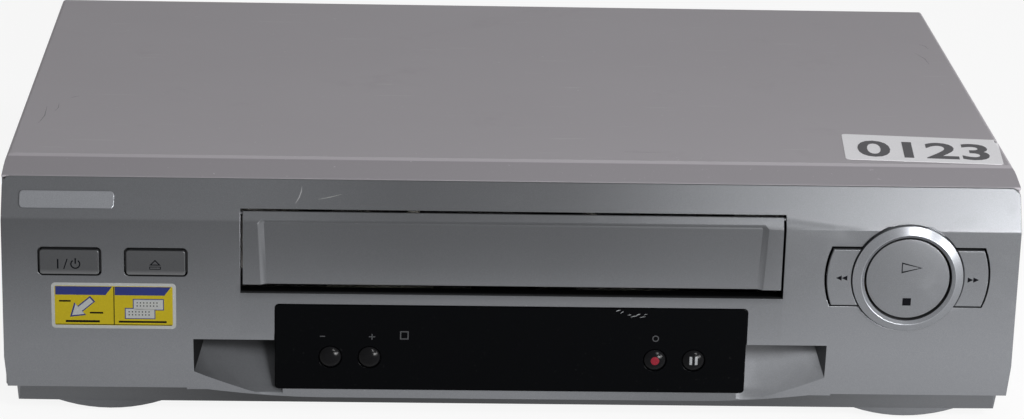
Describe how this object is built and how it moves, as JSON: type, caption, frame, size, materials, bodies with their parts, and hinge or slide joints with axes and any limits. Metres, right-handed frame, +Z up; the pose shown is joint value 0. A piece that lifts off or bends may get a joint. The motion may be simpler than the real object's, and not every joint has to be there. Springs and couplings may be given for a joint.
{
  "type": "video cassette recorder",
  "caption": "Front-loading video cassette recorder: steel cover over a silver moulded front with a cassette flap, a smoked window, keys and a round play and stop rocker.",
  "frame": {"origin": "centre of the overall bounding box at floor level, under the feet", "axes": "+X to the right seen from the front, +Y from the front panel to the rear sockets, +Z up; metres"},
  "size_m": [0.355, 0.2542, 0.09],
  "materials": {
    "cover_paint": "fine matt mauve-grey baked paint",
    "panel_silver": "satin silver-grey lacquer on moulded plastic",
    "key_grey": "satin dark silver-grey",
    "ring_silver": "polished silver lacquer",
    "window_black": "glossy smoked black",
    "case_plastic": "matt black moulding",
    "foot_rubber": "soft black",
    "plated_sheet": "zinc-plated sheet",
    "bright_steel": "ground steel",
    "black_screw": "blackened steel",
    "board_brown": "pressed paper board",
    "component_black": "moulded black",
    "sleeve_blue": "shrunk plastic sleeve",
    "sink_aluminium": "extruded, plain",
    "drum_aluminium": "fine turned",
    "transformer_core": "varnished laminations",
    "tube_glass": "dark glass",
    "mechanism_white": "natural white moulding",
    "mechanism_black": "black moulding",
    "belt_rubber": "black",
    "bearing_brass": "turned"
  },
  "bodies": {
    "chassis": {"top_cover": "cover_paint", "front_panel": "panel_silver", "flap_spring": "bright_steel", "display_window": "window_black", "display_tube": "tube_glass", "display_board": "board_brown", "power_key_board": "board_brown", "transport_key_board": "board_brown", "key_switches": "component_black", "transport_ring": "ring_silver", "base_tray": "case_plastic", "front_foot_pads": "foot_rubber", "rear_feet": "case_plastic", "rear_panel": "plated_sheet", "screws": "black_screw", "main_board": "board_brown", "power_supply_board": "board_brown", "power_transformer": "transformer_core", "capacitors": "sleeve_blue", "heat_sink": "sink_aluminium", "tuner": "plated_sheet", "scart_sockets": "component_black", "mains_inlet": "component_black", "deck_plate": "plated_sheet", "deck_shafts": "bright_steel", "left_guide": "plated_sheet", "right_guide": "plated_sheet", "capstan_bearing": "bearing_brass", "drive_belt": "belt_rubber", "lower_drum": "drum_aluminium", "tape_heads": "bright_steel", "loading_motor": "plated_sheet"},
    "flap": {"cassette_flap": "panel_silver"},
    "power_key": {"power_key": "key_grey"},
    "eject_key": {"eject_key": "key_grey"},
    "rewind_key": {"rewind_key": "panel_silver"},
    "forward_key": {"forward_key": "panel_silver"},
    "play_stop_disc": {"play_stop_disc": "panel_silver"},
    "down_key": {"down_key": "component_black"},
    "up_key": {"up_key": "component_black"},
    "record_key": {"record_key": "component_black"},
    "pause_key": {"pause_key": "component_black"},
    "carriage": {"holder_carriage": "plated_sheet"},
    "cassette_holder": {"cassette_holder": "plated_sheet"},
    "supply_reel": {"supply_reel": "mechanism_white"},
    "take_up_reel": {"take_up_reel": "mechanism_white"},
    "clutch": {"clutch_pulley": "mechanism_white", "drive_wheel": "mechanism_black"},
    "idler_arm": {"idler_arm": "bright_steel"},
    "idler_wheel": {"idler_wheel": "belt_rubber"},
    "capstan": {"capstan": "bright_steel"},
    "head_drum": {"upper_drum": "drum_aluminium", "drum_rotor": "bright_steel"},
    "supply_post": {"supply_post": "mechanism_white"},
    "take_up_post": {"take_up_post": "mechanism_white"},
    "pinch_arm": {"pinch_arm": "bright_steel"},
    "pinch_roller": {"pinch_roller": "belt_rubber"},
    "loading_pinion": {"loading_pinion": "mechanism_white"},
    "cam_gear": {"cam_gear": "mechanism_white"},
    "link_gear": {"link_gear": "mechanism_white"}
  },
  "joints": [
    {"name": "flap_hinge", "type": "hinge", "parent": "chassis", "child": "flap", "pos_m": [0, -0.12098, 0.076], "axis": [1, 0, 0], "range_deg": [0, 88], "stiffness_Nm_per_rad": 0.004, "springref_deg": -11.46},
    {"name": "power_press", "type": "slide", "parent": "chassis", "child": "power_key", "axis": [0, 0.9997, 0.0262], "range_m": [0, 0.0008], "stiffness_N_per_m": 200, "springref_m": -0.001},
    {"name": "eject_press", "type": "slide", "parent": "chassis", "child": "eject_key", "axis": [0, 0.9997, 0.0262], "range_m": [0, 0.0008], "stiffness_N_per_m": 200, "springref_m": -0.001},
    {"name": "rewind_press", "type": "slide", "parent": "chassis", "child": "rewind_key", "axis": [0, 0.9997, 0.0262], "range_m": [0, 0.0008], "stiffness_N_per_m": 200, "springref_m": -0.001},
    {"name": "forward_press", "type": "slide", "parent": "chassis", "child": "forward_key", "axis": [0, 0.9997, 0.0262], "range_m": [0, 0.0008], "stiffness_N_per_m": 200, "springref_m": -0.001},
    {"name": "down_press", "type": "slide", "parent": "chassis", "child": "down_key", "axis": [0, 0.9997, 0.0262], "range_m": [0, 0.0008], "stiffness_N_per_m": 200, "springref_m": -0.001},
    {"name": "up_press", "type": "slide", "parent": "chassis", "child": "up_key", "axis": [0, 0.9997, 0.0262], "range_m": [0, 0.0008], "stiffness_N_per_m": 200, "springref_m": -0.001},
    {"name": "record_press", "type": "slide", "parent": "chassis", "child": "record_key", "axis": [0, 0.9997, 0.0262], "range_m": [0, 0.0008], "stiffness_N_per_m": 200, "springref_m": -0.001},
    {"name": "pause_press", "type": "slide", "parent": "chassis", "child": "pause_key", "axis": [0, 0.9997, 0.0262], "range_m": [0, 0.0008], "stiffness_N_per_m": 200, "springref_m": -0.001},
    {"name": "play_stop_rock", "type": "hinge", "parent": "chassis", "child": "play_stop_disc", "pos_m": [0.1381, -0.12024, 0.05618], "axis": [1, 0, 0], "range_deg": [-3, 3], "stiffness_Nm_per_rad": 0.05},
    {"name": "carriage_slide", "type": "slide", "parent": "chassis", "child": "carriage", "axis": [0, 1, 0], "range_m": [0, 0.061]},
    {"name": "holder_drop", "type": "slide", "parent": "carriage", "child": "cassette_holder", "axis": [0, 0, -1], "range_m": [0, 0.02]},
    {"name": "supply_reel_spin", "type": "hinge", "parent": "chassis", "child": "supply_reel", "pos_m": [-0.046, -0.04688, 0.022], "axis": [0, 0, 1], "continuous": true},
    {"name": "take_up_reel_spin", "type": "hinge", "parent": "chassis", "child": "take_up_reel", "pos_m": [0.046, -0.04688, 0.022], "axis": [0, 0, 1], "continuous": true},
    {"name": "capstan_spin", "type": "hinge", "parent": "chassis", "child": "capstan", "pos_m": [0.054, 0.02412, 0.022], "axis": [0, 0, 1], "continuous": true},
    {"name": "clutch_spin", "type": "hinge", "parent": "chassis", "child": "clutch", "pos_m": [0, -0.01988, 0.022], "axis": [0, 0, 1], "continuous": true},
    {"name": "idler_swing", "type": "hinge", "parent": "chassis", "child": "idler_arm", "pos_m": [0, -0.01988, 0.022], "axis": [0, 0, 1], "range_deg": [-38, 38]},
    {"name": "idler_spin", "type": "hinge", "parent": "idler_arm", "child": "idler_wheel", "pos_m": [0, -0.04368, 0.022], "axis": [0, 0, 1], "continuous": true},
    {"name": "drum_spin", "type": "hinge", "parent": "chassis", "child": "head_drum", "pos_m": [0, 0.05812, 0.029], "axis": [0.1045, 0, 0.9945], "continuous": true},
    {"name": "pinch_swing", "type": "hinge", "parent": "chassis", "child": "pinch_arm", "pos_m": [0.082, 0.02612, 0.022], "axis": [0, 0, 1], "range_deg": [0, 51]},
    {"name": "pinch_spin", "type": "hinge", "parent": "pinch_arm", "child": "pinch_roller", "pos_m": [0.07167, 0.04554, 0.022], "axis": [0, 0, 1], "continuous": true},
    {"name": "supply_post_slide", "type": "slide", "parent": "chassis", "child": "supply_post", "axis": [-0.158, 0.9874, 0], "range_m": [0, 0.05064]},
    {"name": "take_up_post_slide", "type": "slide", "parent": "chassis", "child": "take_up_post", "axis": [0.158, 0.9874, 0], "range_m": [0, 0.05064]},
    {"name": "cam_spin", "type": "hinge", "parent": "chassis", "child": "cam_gear", "pos_m": [-0.064, 0.06212, 0.022], "axis": [0, 0, 1], "continuous": true},
    {"name": "pinion_spin", "type": "hinge", "parent": "chassis", "child": "loading_pinion", "pos_m": [-0.084, 0.06212, 0.022], "axis": [0, 0, 1], "continuous": true},
    {"name": "link_spin", "type": "hinge", "parent": "chassis", "child": "link_gear", "pos_m": [-0.04986, 0.07626, 0.022], "axis": [0, 0, 1], "continuous": true}
  ],
  "couplings": [
    {"joint": "clutch_spin", "follows": "capstan_spin", "ratio": 0.5},
    {"joint": "take_up_post_slide", "follows": "supply_post_slide", "ratio": 1},
    {"joint": "pinion_spin", "follows": "cam_spin", "ratio": -1.5},
    {"joint": "link_spin", "follows": "cam_spin", "ratio": -1.5}
  ]
}
